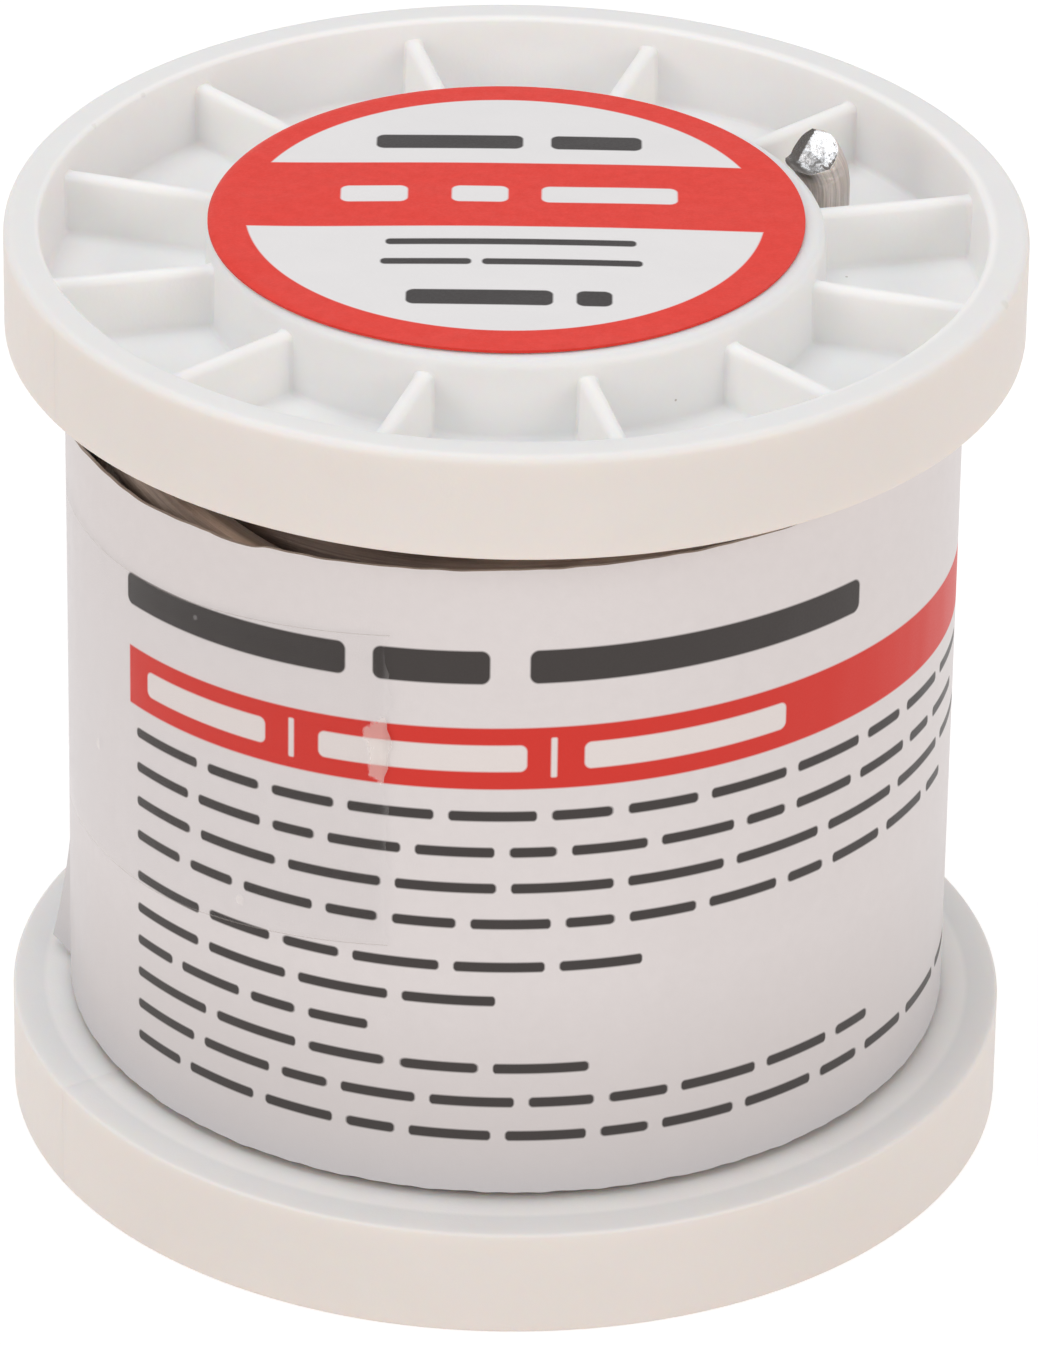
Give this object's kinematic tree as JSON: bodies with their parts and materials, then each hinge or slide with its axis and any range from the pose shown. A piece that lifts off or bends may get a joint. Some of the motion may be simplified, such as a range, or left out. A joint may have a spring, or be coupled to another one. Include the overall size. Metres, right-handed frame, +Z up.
{
  "type": "solder wire spool",
  "caption": "Flanged plastic reel with ribbed end faces and a through bore, wound with soft solder wire under a paper wrap label, with a round hub sticker.",
  "frame": {"origin": "centre of the base, where the lower flange rests, on the spindle axis", "axes": "+Z up along the spindle towards the end with the hub sticker, -Y towards the front of the label"},
  "size_m": [0.058, 0.058, 0.0573],
  "materials": {
    "reel_plastic": "satin white polystyrene, faintly warm",
    "solder": "dull drawn tin-lead, streaked along the wire, mirror bright where it was cut",
    "label_paper": "smooth white printed paper with a red band",
    "clear_film": "clear glossy adhesive tape",
    "sticker_paper": "white sticker with a printed red ring and band"
  },
  "bodies": {
    "root": {"spool_reel": "reel_plastic", "solder_inner_turns": "solder", "solder_outer_turns": "solder", "wrap_label": "label_paper", "clear_tape": "clear_film", "hub_sticker": "sticker_paper"}
  },
  "joints": []
}
